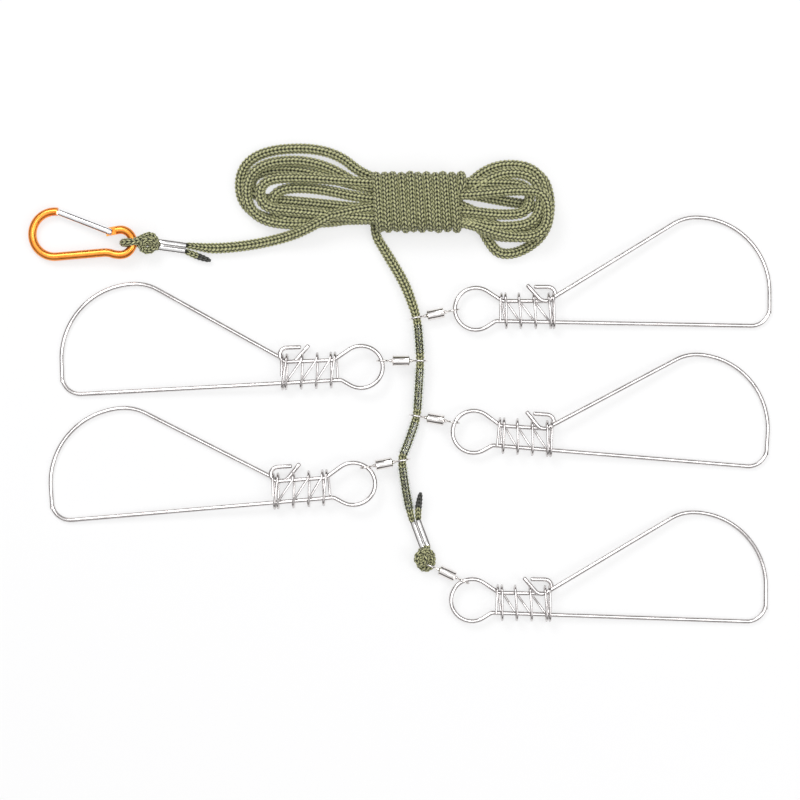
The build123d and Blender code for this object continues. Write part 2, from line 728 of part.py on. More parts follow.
post_start = flat(SMALL_END) * SMALL_R
post_along = flat(SMALL_END + 90)
pivot = post_start + post_along * POST_LENGTH
post_end = pivot + post_along * TONGUE
big_middle = Vector(*BIG_AT)
nose = big_middle + flat(NOSE_ANGLE) * BIG_R
nose_along = flat(NOSE_ANGLE - 90)
spine_start = big_middle + flat(SPINE_SLOPE - 90) * BIG_R
spine_end = spine_start + flat(SPINE_SLOPE) * ((SPINE_END_X - spine_start.X) / cos(radians(SPINE_SLOPE)))
small_start = flat(SMALL_START) * SMALL_R


def lifted(vector):
    """A direction in the carabiner's plane, in the part's frame."""
    return carabiner.from_local_coords(vector) - carabiner.origin


rod_knots = [
    (nose, flat(NOSE_ANGLE + 90)),
    (big_middle + flat(180) * BIG_R, flat(270)),
    (spine_start, flat(SPINE_SLOPE)),
    (spine_end, flat(SPINE_SLOPE)),
    (small_start, flat(SMALL_START + 90)),
    (flat(0) * SMALL_R, flat(90)),
    (post_start, post_along),
    (post_end, post_along),
]
rod_path = knot_path([(carabiner.from_local_coords(p), lifted(t)) for p, t in rod_knots])

gate_along = (nose - pivot).normalized()
gate_length = (nose - pivot).length - GATE_GAP
gate_plane = Plane(
    origin=carabiner.from_local_coords(pivot), x_dir=lifted(gate_along), z_dir=carabiner_z
)
pin_bottom = gate_plane.origin - carabiner_z * (GATE_D / 2)
tongue_slot = TONGUE + 2 * TONGUE_CLEAR

with BuildPart() as carabiner_body:
    with BuildSketch(Plane(origin=rod_path @ 0, z_dir=rod_path % 0)):
        Circle(ROD_D / 2)
    sweep(path=rod_path)
    # Flats for the gate's fork
    post_plane = Plane(origin=gate_plane.origin, x_dir=lifted(post_along), z_dir=carabiner_z)
    flat_length = TONGUE_BACK + 2 * ROD_D
    for side in (1, -1):
        with BuildSketch(post_plane.offset(side * TONGUE / 2)):
            with Locations((flat_length / 2 - TONGUE_BACK, 0)):
                Rectangle(flat_length, 2 * ROD_D)
        extrude(amount=side * ROD_D, mode=Mode.SUBTRACT)
    with BuildSketch(Plane(origin=pin_bottom, z_dir=carabiner_z)):
        Circle(PIN_D / 2 + RUN_CLEAR)
    extrude(amount=GATE_D, mode=Mode.SUBTRACT)
    # Notch for the gate's tip, open to the inside
    nose_plane = Plane(
        origin=carabiner.from_local_coords(nose), x_dir=lifted(nose_along), z_dir=carabiner_z
    )
    with BuildSketch(nose_plane.offset(-NOSE_SLOT / 2)):
        with Locations((0, ROD_D / 2 - NOSE_WALL - ROD_D)):
            Rectangle(2 * NOSE_SLOT_DEPTH, 2 * ROD_D)
    extrude(amount=NOSE_SLOT, mode=Mode.SUBTRACT)
save(carabiner_body, "carabiner_body")

with BuildPart() as carabiner_gate:
    back = GATE_D / 2
    with BuildSketch(Plane(origin=gate_plane.origin - gate_plane.x_dir * back, z_dir=gate_plane.x_dir)):
        Circle(GATE_D / 2)
    extrude(amount=gate_length + back)
    gate_ends = carabiner_gate.faces().filter_by(GeomType.PLANE)
    fillet(gate_ends.sort_by_distance(gate_plane.origin)[0].edges(), GATE_D / 3)
    # Fork round the body's tongue
    with BuildSketch(gate_plane.offset(-tongue_slot / 2)):
        with Locations((TONGUE_BACK / 2 - back, 0)):
            Rectangle(TONGUE_BACK + 2 * back, 2 * GATE_D)
    extrude(amount=tongue_slot, mode=Mode.SUBTRACT)
    # Bore for the spring
    with BuildSketch(Plane(origin=gate_plane.origin, z_dir=gate_plane.x_dir)):
        Circle(SPRING_BORE / 2)
    extrude(amount=TONGUE_BACK + SPRING_TURNS * SPRING_PITCH + 3 * SPRING_WIRE, mode=Mode.SUBTRACT)
    with BuildSketch(Plane(origin=pin_bottom, z_dir=carabiner_z)):
        Circle(PIN_D / 2 + RUN_CLEAR / 2)
    extrude(amount=GATE_D, mode=Mode.SUBTRACT)
    # Tip that lies in the nose's notch, nearer the inside
    with BuildSketch(gate_plane.offset(-GATE_TIP_W / 2)):
        with Locations((gate_length + GATE_TIP / 2, GATE_D / 8)):
            Rectangle(GATE_TIP + GATE_GAP / 2, GATE_D / 2)
    extrude(amount=GATE_TIP_W)
save(carabiner_gate, "carabiner_gate")

with BuildPart() as gate_pin:
    with BuildSketch(Plane(origin=pin_bottom, z_dir=carabiner_z)):
        Circle(PIN_D / 2)
    extrude(amount=GATE_D)
    for end in (pin_bottom - carabiner_z * PIN_HEAD, pin_bottom + carabiner_z * GATE_D):
        with BuildSketch(Plane(origin=end, z_dir=carabiner_z)):
            Circle(PIN_D / 2 + PIN_HEAD)
        extrude(amount=PIN_HEAD)
save(gate_pin, "gate_pin")

# Gate spring: quarter turns along the gate's bore
spring_r = (SPRING_BORE - SPRING_WIRE) / 2 - RUN_CLEAR
spring_slope = SPRING_PITCH / (2 * pi * spring_r)
spring_start = TONGUE_BACK + SPRING_WIRE
spring_knots = []
for i in range(4 * SPRING_TURNS + 1):
    spoke = gate_plane.y_dir * cos(i * pi / 2) + gate_plane.z_dir * sin(i * pi / 2)
    sweep_way = gate_plane.z_dir * cos(i * pi / 2) - gate_plane.y_dir * sin(i * pi / 2)
    reach = spring_start + i * SPRING_PITCH / 4
    point = gate_plane.origin + gate_plane.x_dir * reach + spoke * spring_r
    spring_knots.append((point, sweep_way + gate_plane.x_dir * spring_slope))
spring_path = knot_path(spring_knots)
own_gap("gate spring", spring_path, SPRING_WIRE, step=0.1)
save(tube(spring_path, SPRING_WIRE), "gate_spring")
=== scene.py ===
"""Fish stringer on a white table: knitted cord, wire snaps, swivels, sleeves, spacers and carabiner."""
import json
from math import cos, pi, radians, sin, tan

import bpy
import numpy as np
from mathutils import Matrix, Vector


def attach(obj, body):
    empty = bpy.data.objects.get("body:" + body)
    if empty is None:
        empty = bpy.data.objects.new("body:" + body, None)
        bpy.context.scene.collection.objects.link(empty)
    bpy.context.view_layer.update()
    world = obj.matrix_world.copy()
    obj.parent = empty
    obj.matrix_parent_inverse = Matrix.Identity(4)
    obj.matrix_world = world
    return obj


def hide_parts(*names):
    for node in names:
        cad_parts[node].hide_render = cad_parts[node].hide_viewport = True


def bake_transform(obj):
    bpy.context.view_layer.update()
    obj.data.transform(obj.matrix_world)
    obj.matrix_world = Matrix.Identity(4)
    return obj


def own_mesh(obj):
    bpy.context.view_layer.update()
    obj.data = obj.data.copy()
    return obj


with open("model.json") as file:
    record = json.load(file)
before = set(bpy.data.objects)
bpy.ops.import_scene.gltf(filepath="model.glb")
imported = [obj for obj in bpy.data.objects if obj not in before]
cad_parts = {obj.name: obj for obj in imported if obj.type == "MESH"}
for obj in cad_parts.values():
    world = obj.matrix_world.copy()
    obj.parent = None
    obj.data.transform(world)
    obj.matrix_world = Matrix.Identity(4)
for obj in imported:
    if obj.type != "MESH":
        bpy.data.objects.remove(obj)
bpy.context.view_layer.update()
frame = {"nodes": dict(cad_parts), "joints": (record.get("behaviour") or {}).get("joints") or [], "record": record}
nodes = frame["nodes"]
joints = {j["name"]: j for j in frame["joints"]}
mounts = {m["name"]: m for m in frame["record"]["mounts"]}
MM = 0.001
SNAPS = range(1, 6)
SPACERS = range(1, 5)


def make_active(piece):
    bpy.ops.object.select_all(action="DESELECT")
    piece.select_set(True)
    bpy.context.view_layer.objects.active = piece


def new_piece(name, data):
    """An object in the scene that shows the given data."""
    piece = bpy.data.objects.new(name, data)
    bpy.context.scene.collection.objects.link(piece)
    return piece


def dress(piece, body, node):
    """Set the body that a piece rides on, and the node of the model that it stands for."""
    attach(piece, body)
    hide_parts(node)


# Camera straight above the table
PIXEL = 0.46 * MM
PHOTO_WIDTH = 800  # pixels
ORIGIN_BELOW = 16  # pixels from the middle of the photograph down to the part's origin
VIEW_HEIGHT = 1.25
SENSOR = 36
bpy.ops.object.camera_add(location=(0, ORIGIN_BELOW * PIXEL, VIEW_HEIGHT), rotation=(0, 0, 0))
camera = bpy.context.object
camera.name = "photo_camera"
camera.data.lens = SENSOR * VIEW_HEIGHT / (PHOTO_WIDTH * PIXEL)
camera.data.sensor_width = SENSOR
camera.data.clip_end = 20
bpy.context.scene.camera = camera
bpy.context.scene.view_settings.view_transform = "Standard"

# Materials
RELIEF = 0.05 * MM  # depth of the scratches in metal and of the filaments in cord


def new_material(name):
    """A material, its node tree and its shader."""
    material = bpy.data.materials.new(name)
    material.use_nodes = True
    tree = material.node_tree
    return material, tree, tree.nodes["Principled BSDF"]


def add_node(tree, kind, x, y, **settings):
    node = tree.nodes.new(kind)
    node.location = (x, y)
    for key, value in settings.items():
        setattr(node, key, value)
    return node


def set_inputs(node, values):
    for socket, value in values.items():
        node.inputs[socket].default_value = value


def join(tree, *wires):
    """Links, each given as a node and its output, then a node and its input."""
    for node, output, other, socket in wires:
        tree.links.new(node.outputs[output], other.inputs[socket])


def ramp(tree, x, y, stops):
    node = add_node(tree, "ShaderNodeValToRGB", x, y)
    elements = node.color_ramp.elements
    while len(elements) < len(stops):
        elements.new(0.5)
    for element, (place, colour) in zip(elements, stops):
        element.position = place
        element.color = (*colour, 1)
    return node


def new_group(name, inputs, outputs):
    """A node group with the named sockets, and its start and end nodes."""
    group = bpy.data.node_groups.new(name, "ShaderNodeTree")
    for way, sockets in (("INPUT", inputs), ("OUTPUT", outputs)):
        for socket in sockets:
            kind = "NodeSocketVector" if socket == "Vector" else "NodeSocketFloat"
            group.interface.new_socket(socket, in_out=way, socket_type=kind)
    start = add_node(group, "NodeGroupInput", -1300, 0)
    end = add_node(group, "NodeGroupOutput", 600, 0)
    return group, start, end


def drawn_metal_group():
    """Fine scratches and a cloudy film on bright metal: a mask for colour, a roughness and a height."""
    group, start, end = new_group(
        "drawn_metal", ["Vector", "Grain", "Rough Low", "Rough High"], ["Film", "Roughness", "Height"]
    )
    cloud = add_node(group, "ShaderNodeTexNoise", -600, 200)
    set_inputs(cloud, {"Scale": 190, "Detail": 4})
    scratch = add_node(group, "ShaderNodeTexNoise", -600, -150)
    set_inputs(scratch, {"Detail": 3, "Roughness": 0.65})
    spread = add_node(group, "ShaderNodeMapRange", -200, 0)
    set_inputs(spread, {"From Min": 0.3, "From Max": 0.7})
    join(
        group,
        (start, "Vector", cloud, "Vector"),
        (start, "Vector", scratch, "Vector"),
        (start, "Grain", scratch, "Scale"),
        (cloud, "Fac", spread, "Value"),
        (start, "Rough Low", spread, "To Min"),
        (start, "Rough High", spread, "To Max"),
        (cloud, "Fac", end, "Film"),
        (spread, "Result", end, "Roughness"),
        (scratch, "Fac", end, "Height"),
    )
    return group


drawn_metal = drawn_metal_group()


def metal(name, dull, bright, roughness, grain, bump):
    """Drawn metal between two tints, with its range of roughness and its scratches' scale and bump."""
    material, tree, shader = new_material(name)
    place = add_node(tree, "ShaderNodeTexCoord", -1100, 0)
    finish = add_node(tree, "ShaderNodeGroup", -800, 0, node_tree=drawn_metal)
    rough_low, rough_high = roughness
    set_inputs(finish, {"Grain": grain, "Rough Low": rough_low, "Rough High": rough_high})
    tint = ramp(tree, -450, 200, [(0.35, dull), (0.65, bright)])
    height = add_node(tree, "ShaderNodeBump", -450, -250)
    set_inputs(height, {"Strength": bump, "Distance": RELIEF})
    set_inputs(shader, {"Metallic": 1.0})
    join(
        tree,
        (place, "Object", finish, "Vector"),
        (finish, "Film", tint, "Fac"),
        (tint, "Color", shader, "Base Color"),
        (finish, "Roughness", shader, "Roughness"),
        (finish, "Height", height, "Height"),
        (height, "Normal", shader, "Normal"),
    )
    return material


METALS = {
    "bright_stainless": ((0.56, 0.535, 0.53), (0.70, 0.675, 0.67), (0.10, 0.20), 2600, 0.08),
    "swivel_nickel": ((0.76, 0.73, 0.71), (0.90, 0.87, 0.85), (0.09, 0.18), 2200, 0.08),
    "pressed_sleeve": ((0.80, 0.79, 0.78), (0.95, 0.94, 0.93), (0.06, 0.15), 1500, 0.12),
    "satin_gate": ((0.90, 0.90, 0.91), (0.98, 0.98, 0.99), (0.12, 0.22), 1800, 0.1),
    "orange_anodised": ((0.93, 0.28, 0.04), (0.98, 0.35, 0.06), (0.26, 0.36), 1700, 0.06),
}
stainless, nickel, pressed, satin, anodised = (metal(name, *look) for name, look in METALS.items())
set_inputs(anodised.node_tree.nodes["Principled BSDF"], {"Coat Weight": 0.2, "Coat Roughness": 0.12})


def clear_material(name):
    """Clear plastic with a faint haze."""
    material, tree, shader = new_material(name)
    place = add_node(tree, "ShaderNodeTexCoord", -900, 0)
    haze = add_node(tree, "ShaderNodeTexNoise", -650, 0)
    set_inputs(haze, {"Scale": 260})
    spread = add_node(tree, "ShaderNodeMapRange", -350, 0)
    set_inputs(spread, {"To Min": 0.01, "To Max": 0.06})
    set_inputs(shader, {"Base Color": (0.93, 0.95, 0.93, 1), "Transmission Weight": 1.0, "IOR": 1.48})
    join(
        tree,
        (place, "Object", haze, "Vector"),
        (haze, "Fac", spread, "Value"),
        (spread, "Result", shader, "Roughness"),
    )
    return material


clear_tube = clear_material("clear_spacer")


def fibre_group():
    """Filaments along a strand, and its painted light and shade with its own change of tone, as a mask and a
    height.
    """
    group, start, end = new_group("fibres_and_painted_light", ["Filaments"], ["Mask", "Height"])
    strand = add_node(group, "ShaderNodeUVMap", -1300, 300, uv_map="strand")
    parts = add_node(group, "ShaderNodeSeparateXYZ", -1050, 300)
    wander = add_node(group, "ShaderNodeTexNoise", -1050, 550)
    set_inputs(wander, {"Scale": 3.0})
    across = add_node(group, "ShaderNodeMath", -800, 300, operation="MULTIPLY_ADD")
    set_inputs(across, {1: 0.5})
    lines = add_node(group, "ShaderNodeMath", -550, 300, operation="MULTIPLY")
    wave = add_node(group, "ShaderNodeMath", -350, 300, operation="SINE")
    painted_light_and_tone = add_node(group, "ShaderNodeAttribute", -550, -100, attribute_name="painted_light_and_tone")
    mixed = add_node(group, "ShaderNodeMath", -100, 100, operation="MULTIPLY_ADD")
    set_inputs(mixed, {1: 0.10})
    join(
        group,
        (strand, "UV", parts, "Vector"),
        (strand, "UV", wander, "Vector"),
        (wander, "Fac", across, 0),
        (parts, "Y", across, 2),
        (across, "Value", lines, 0),
        (start, "Filaments", lines, 1),
        (lines, "Value", wave, 0),
        (wave, "Value", mixed, 0),
        (painted_light_and_tone, "Fac", mixed, 2),
        (mixed, "Value", end, "Mask"),
        (wave, "Value", end, "Height"),
    )
    return group


fibres_and_painted_light = fibre_group()


def knit_material(name, stops, roughness, filaments):
    """Knitted cord, tinted by the painted shade and highlight of its strands and by their own tone."""
    material, tree, shader = new_material(name)
    fibres = add_node(tree, "ShaderNodeGroup", -900, 0, node_tree=fibres_and_painted_light)
    set_inputs(fibres, {"Filaments": filaments})
    tint = ramp(tree, -600, 200, stops)
    height = add_node(tree, "ShaderNodeBump", -600, -200)
    set_inputs(height, {"Strength": 0.5, "Distance": RELIEF})
    set_inputs(shader, {"Roughness": roughness, "Sheen Weight": 0.25, "Sheen Roughness": 0.4})
    join(
        tree,
        (fibres, "Mask", tint, "Fac"),
        (tint, "Color", shader, "Base Color"),
        (fibres, "Height", height, "Height"),
        (height, "Normal", shader, "Normal"),
    )
    return material


# Low ends of these ramps are painted shade and high ends painted highlight; between them the cord's own olive or
# singed black
OLIVE = [(0.0, (0.008, 0.009, 0.004)), (0.42, (0.150, 0.154, 0.060)), (1.0, (0.620, 0.618, 0.330))]
SINGED = [(0.0, (0.008, 0.009, 0.007)), (0.45, (0.030, 0.031, 0.026)), (1.0, (0.090, 0.092, 0.080))]
# Colour of the core, which is painted shade: it darkens the holes between the stitches
SHADE = [(0.0, (0.006, 0.007, 0.003)), (1.0, (0.024, 0.027, 0.010))]
olive_knit = knit_material("olive_knit", OLIVE, 0.55, 40)
singed_knit = knit_material("singed_knit", SINGED, 0.38, 30)
core_painted_shade = knit_material("knit_inside_painted_shade", SHADE, 0.9, 20)
KNIT_MATERIALS = (olive_knit, core_painted_shade, singed_knit)
OLIVE_MARK, CORE_MARK, SINGED_MARK = range(3)  # places of these materials on a cord's mesh

# Knit of the cord
COLUMNS = 4  # of stitches round the cord
STITCH = 1.8 * MM
OVERLAP = 0.6  # of a stitch, by which the last one reaches past its place
PLUMP = 1.1  # the tops of the stitches stand proud of the cord's own diameter
TAPER, TAPER_LIMIT = 2.5, 0.45  # length of a taper, in diameters, and its largest share of the cord
TIP_TAPER = 0.8  # of the section that a singed tip loses
# Leg of a stitch: place along it, offset across its column, height and width as shares of the full ones
LEG = [(0.0, 0.46, 0.15, 0.8), (0.34, 0.36, 0.95, 1.0), (0.82, 0.15, 1.0, 1.0), (1.2, 0.05, 0.1, 0.7)]
LEG_HEIGHT = 0.18  # of the cord's radius
LEG_HALF_WIDTH = 0.165  # of a column
LEG_LEAN = (0.21, 0.48)  # across a column and along a stitch
LEG_DIP = 1.6  # of a leg's height, from its top down to its ends
LEG_EDGE = 0.9  # of a leg's height, from its ridge down to its edges
# Tone of a leg: painted shade at its ends and painted light at its top, its change from stitch to stitch
PAINTED_SHADE_LOW, PAINTED_LIGHT_RISE, TONE_CHANGE = 0.12, 0.70, 0.06
STITCH_TURN, COLUMN_TURN = 2.3, 1.7  # turns of that change, in radians
# Painted highlight on a leg's ridge and painted shade at its edges
RIDGE_HIGHLIGHT, EDGE_SHADE = 0.1, -0.3
# The three strips of a leg, which run between its lines of points, and their corners in the fibres' map
STRIPS = ((0, 1), (1, 2), (2, 0))
STRIP_CORNERS = [
    [(0, 0), (0, 0.5), (1, 0.5), (1, 0)],
    [(0, 0.5), (0, 1), (1, 1), (1, 0.5)],
    [(0, 1), (0, 0), (1, 0), (1, 1)],
]
MAP_STEP = 0.25
CORE_SIDES = 8
CORE_DEPTH = 1.15  # of a leg's height, from the tops of the stitches down to the core
CORE_SHADE_TONE = 0.4
CLOSEST = 0.02 * MM  # points of a line that are nearer to each other count as one


def route_line(name, points, resolution=24):
    """Points along the smooth line of a cord's route, which is given in millimetres."""
    curve = bpy.data.curves.new(name + "_route", "CURVE")
    curve.dimensions = "3D"
    curve.resolution_u = resolution
    spline = curve.splines.new("NURBS")
    spline.points.add(len(points) - 1)
    for place, point in zip(spline.points, points):
        place.co = (*(c * MM for c in point), 1)
    spline.use_endpoint_u = True
    spline.order_u = 3
    holder = new_piece(name + "_route", curve)
    bpy.context.view_layer.update()
    settled = holder.evaluated_get(bpy.context.evaluated_depsgraph_get())
    mesh = bpy.data.meshes.new_from_object(settled)
    line = np.array([v.co for v in mesh.vertices], float)
    bpy.data.objects.remove(holder)
    bpy.data.curves.remove(curve)
    bpy.data.meshes.remove(mesh)
    steps = np.linalg.norm(np.diff(line, axis=0), axis=1)
    return line[np.concatenate([[True], steps > CLOSEST])]


def frames_along(line):
    """Distance, direction and two cross directions at each point of a line, without twist."""
    steps = np.diff(line, axis=0)
    reach = np.concatenate([[0], np.cumsum(np.linalg.norm(steps, axis=1))])
    along = np.gradient(line, reach, axis=0)
    along /= np.linalg.norm(along, axis=1)[:, None]
    side = np.zeros_like(line)
    start = np.cross(along[0], (0.0, 0.0, 1.0))
    if np.linalg.norm(start) < 0.1:
        start = np.cross(along[0], (0.0, 1.0, 0.0))
    side[0] = start / np.linalg.norm(start)
    for i in range(1, len(line)):
        turned = side[i - 1] - along[i] * (side[i - 1] @ along[i])
        side[i] = turned / np.linalg.norm(turned)
    return reach, along, side, np.cross(along, side)


def sampled(places, reach, values):
    return np.stack([np.interp(places, reach, values[:, k]) for k in range(3)], axis=1)


def leg_faces(rows):
    """Faces of all the legs, their corners in the fibres' map and the row that each starts from."""
    start = (np.arange(2 * COLUMNS)[:, None] * rows + np.arange(rows - 1)[None, :]) * 3
    strips = [
        np.stack([start + j, start + m, start + 3 + m, start + 3 + j], -1).reshape(-1, 4)
        for j, m in STRIPS
    ]
    faces = np.concatenate(strips)
    row = (faces[:, 0] // 3) % rows
    uvs = np.repeat(np.array(STRIP_CORNERS, float), len(strips[0]), axis=0)
    uvs[:, :, 0] = (uvs[:, :, 0] + row[:, None]) * MAP_STEP
    return faces, uvs, row


def core_faces(rings, base):
    """Faces of the core's rings, whose points follow the first base points of the mesh."""
    k = np.arange(CORE_SIDES)
    after = (k + 1) % CORE_SIDES
    start = base + CORE_SIDES * np.arange(rings - 1)[:, None]
    far = start + CORE_SIDES
    return np.stack([start + k, start + after, far + after, far + k], -1).reshape(-1, 4)


def knit_mesh(name, verts, painted_light_and_tones, faces, uvs, marks):
    mesh = bpy.data.meshes.new(name)
    mesh.from_pydata(verts, [], faces.tolist())
    layer = mesh.uv_layers.new(name="strand")
    layer.data.foreach_set("uv", uvs.astype(np.float32).reshape(-1))
    painted_light_and_tone = mesh.attributes.new("painted_light_and_tone", "FLOAT", "POINT")
    painted_light_and_tone.data.foreach_set("value", painted_light_and_tones.astype(np.float32))
    for material in KNIT_MATERIALS:
        mesh.materials.append(material)
    mesh.polygons.foreach_set("material_index", marks.astype(np.int32))
    mesh.polygons.foreach_set("use_smooth", np.ones(len(faces), bool))
    mesh.update()
    return mesh


def knit(name, line, diameter, ends, singed=None):
    """A knitted cord along a line: columns of stitches, each a V of two legs, round a core coloured as painted
    shade.

    ends gives the diameters that it tapers to where it joins another piece, and singed the share of its
    length after which it is melted.
    """
    reach, along, side, up = frames_along(line)
    total = reach[-1]
    first, last = ends
    taper = min(TAPER * diameter, TAPER_LIMIT * total)
    stitches = max(int(total / STITCH), 3)
    share, offset, height, width = (np.tile(v, stitches) for v in np.array(LEG).T)
    number = np.repeat(np.arange(stitches), len(LEG))

    def radius_at(where):
        grow = np.clip(where / taper, 0, 1)
        shrink = np.clip((total - where) / taper, 0, 1)
        wide = first + (diameter - first) * grow + (last - diameter) * (1 - shrink)
        if singed:
            tip = np.clip((where / total - singed) / (1 - singed), 0, 1)
            wide = wide * np.sqrt(1 - TIP_TAPER * tip**2)
        return PLUMP * wide / 2

    verts, painted_light_and_tones = [], []
    for k in range(COLUMNS):
        stagger = 0.5 * (k % 2)
        places = np.clip((number + share + stagger) / (stitches + OVERLAP), 0, 1) * total
        middle = sampled(places, reach, line)
        a, b, c = (sampled(places, reach, v) for v in (along, side, up))
        outer = radius_at(places)
        thick = LEG_HEIGHT * outer
        column = 2 * pi * outer / COLUMNS
        half_width = LEG_HALF_WIDTH * column * width
        lean = np.arctan2(LEG_LEAN[0] * column, LEG_LEAN[1] * STITCH)
        for hand in (1, -1):
            angle = 2 * pi * (k + hand * offset) / COLUMNS
            spoke = b * np.cos(angle)[:, None] + c * np.sin(angle)[:, None]
            round_way = c * np.cos(angle)[:, None] - b * np.sin(angle)[:, None]
            across = round_way * np.cos(lean)[:, None] + a * (hand * np.sin(lean))[:, None]
            ridge = middle + spoke * (outer - thick * LEG_DIP * (1 - height))[:, None]
            edge = ridge - spoke * (thick * LEG_EDGE)[:, None]
            half = across * half_width[:, None]
            verts.append(np.stack([edge - half, ridge, edge + half], 1).reshape(-1, 3))
            change = TONE_CHANGE * np.sin(STITCH_TURN * number + COLUMN_TURN * k + hand)
            # Painted shade where a leg dips into the cord and painted light where it stands highest
            painted_light_and_tone = PAINTED_SHADE_LOW + PAINTED_LIGHT_RISE * height + change
            shades = [painted_light_and_tone + EDGE_SHADE, painted_light_and_tone + RIDGE_HIGHLIGHT, painted_light_and_tone + EDGE_SHADE]
            painted_light_and_tones.append(np.stack(shades, 1).reshape(-1))
    rows = len(number)
    faces, uvs, row = leg_faces(rows)
    marks = np.where(row / rows > (singed or 1), SINGED_MARK, OLIVE_MARK)
    base = sum(len(points) for points in verts)

    core_places = np.linspace(0, total, max(int(total / STITCH), 4))
    middle, b, c = (sampled(core_places, reach, v)[:, None] for v in (line, side, up))
    inner = (radius_at(core_places) * (1 - CORE_DEPTH * LEG_HEIGHT))[:, None]
    turn = 2 * pi * np.arange(CORE_SIDES) / CORE_SIDES
    rings = middle + b * (inner * np.cos(turn))[..., None] + c * (inner * np.sin(turn))[..., None]
    verts.append(rings.reshape(-1, 3))
    painted_light_and_tones.append(np.full(len(rings) * CORE_SIDES, CORE_SHADE_TONE))
    quads = core_faces(len(rings), base)
    faces = np.concatenate([faces, quads])
    uvs = np.concatenate([uvs, np.zeros((len(quads), 4, 2))])
    marks = np.concatenate([marks, np.full(len(quads), CORE_MARK)])
    return new_piece(
        name, knit_mesh(name, np.concatenate(verts), np.concatenate(painted_light_and_tones), faces, uvs, marks)
    )


def lay_cord(name, node, route, diameter, ends, resolution=24, singed=None):
    """Knit a run of the cord along its route, in place of the model's own. Gives its piece and line."""
    line = route_line(name, route, resolution)
    piece = knit(name, line, diameter, ends, singed)
    dress(piece, "cord", node)
    return piece, line


def between(one, other):
    """The diameter where two runs of the cord meet."""
    return 0.5 * (one + other)


# Diameters of the cord: as it lies free, drawn under the spacers, in the eye loops, in the singed tails,
# in the hank, in the wrap and pressed in the sleeves
CORD = 4.8 * MM
DRAWN = 3.72 * MM
LOOP = 3.45 * MM
TAIL = 3.2 * MM
STRAND = 4.7 * MM
WRAP = 3.9 * MM
PRESSED = 2.65 * MM

# Lead, from the upper sleeve to the hank
lead_route = [
    (-98.2, 78.4, 2.4), (-92.5, 77.6, 2.4), (-85.1, 76.8, 2.4), (-71.3, 78.0, 2.4),
    (-57.5, 80.6, 2.6), (-47.0, 83.6, 6.0), (-38.6, 87.6, 9.6), (-30.4, 92.2, 11.2),
]
lead, lead_line = lay_cord(
    "cord_lead_knit", "cord_lead", lead_route, CORD, (PRESSED, between(CORD, STRAND))
)

# Hank, wound from the lead: along the waist, round the right lobe, back and round the left lobe
HANK_AT = (7.1, 98.9)
WAIST = 19.5  # half of its length
LOW, HIGH = 5.6, 10.35  # the two layers of strands in the waist
# The loose turn that hangs out of the right lobe, point by point
HANGING_TURN = [
    (30.0, -12.0, 3.2), (33.5, -18.8, 3.0), (38.5, -25.0, 2.4), (49.0, -23.6, 2.4), (60.0, -15.0, 2.4),
    (62.4, 0.0, 2.4), (58.0, 13.0, 2.4), (44.0, 13.4, 2.4), (33.0, 9.4, 3.4),
]
# Other turns of a lobe: shoulder, place there on the way out, end, place there on the way back, height
RIGHT_TURNS = [
    HANGING_TURN,
    (36.0, -18.2, 59.8, 17.6, 4.6),
    (43.0, -16.0, 57.0, -0.8, 2.5),
    (40.0, -7.2, 52.2, 8.0, 7.0),
    (38.0, -13.2, 57.2, 13.4, 7.2),
]
LEFT_TURNS = [
    (-40.0, 25.4, -80.6, -11.2, 2.4),
    (-46.0, 19.4, -77.2, -12.2, 5.4),
    (-52.0, 14.8, -75.4, -0.6, 2.5),
    (-54.0, 10.4, -71.0, -5.2, 8.8),
    (-48.0, 6.2, -65.6, -9.2, 5.4),
]
# The half turn in the right lobe that leads into the wrap
LAST_TURN = [
    (42.0, -17.8, 8.0), (60.6, -16.0, 9.0), (60.6, 3.6, 9.6), (46.0, 4.4, 10.6), (33.6, 3.0, 11.6),
    (24.0, 2.0, 12.0), (15.0, 2.0, 11.6),
]
# Passes along the waist to the right: place across it and heights at its left and right ends
LOWER_PASSES = [
    (-2.2, HIGH, LOW), (-5.2, LOW, LOW), (0.0, LOW, HIGH), (-4.8, HIGH, HIGH), (-9.0, HIGH, HIGH),
    (-8.7, LOW, HIGH),
]
# Passes back to the left: place across the waist and heights at its right and left ends
UPPER_PASSES = [
    (7.4, LOW, LOW), (2.8, LOW, LOW), (3.4, HIGH, HIGH), (7.2, HIGH, HIGH), (-0.6, HIGH, HIGH),
]


def in_hank(u, v, z):
    return (HANK_AT[0] + u, HANK_AT[1] + v, z)


def lobe(turn):
    """Points of a turn in a lobe, which is given point by point or by its shoulder and end."""
    if isinstance(turn, list):
        return [in_hank(*point) for point in turn]
    shoulder, out, end, back, z = turn
    return [
        in_hank(shoulder, out, z),
        in_hank(end, 0.9 * out + 0.1 * back, z),
        in_hank(end, 0.1 * out + 0.9 * back, z),
        in_hank(shoulder, back, z),
    ]


hank_route = [(-31.8, 91.4, 11.0)]
for i, (low_v, left_z, right_z) in enumerate(LOWER_PASSES):
    hank_route += [in_hank(-WAIST, low_v, left_z), in_hank(WAIST, low_v, right_z)]
    if i == len(UPPER_PASSES):
        break
    up_v, back_z, to_z = UPPER_PASSES[i]
    hank_route += lobe(RIGHT_TURNS[i])
    hank_route += [in_hank(WAIST, up_v, back_z), in_hank(-WAIST, up_v, to_z)]
    hank_route += lobe(LEFT_TURNS[i])
hank_route += lobe(LAST_TURN)
hank, hank_line = lay_cord(
    "cord_hank_knit", "cord_hank", hank_route, STRAND,
    (between(CORD, STRAND), between(STRAND, WRAP)), resolution=20,
)

# Wrap round the waist, from right to left
WRAP_START, WRAP_PITCH = 21.4, 3.83
WRAP_FLOOR = 2.1
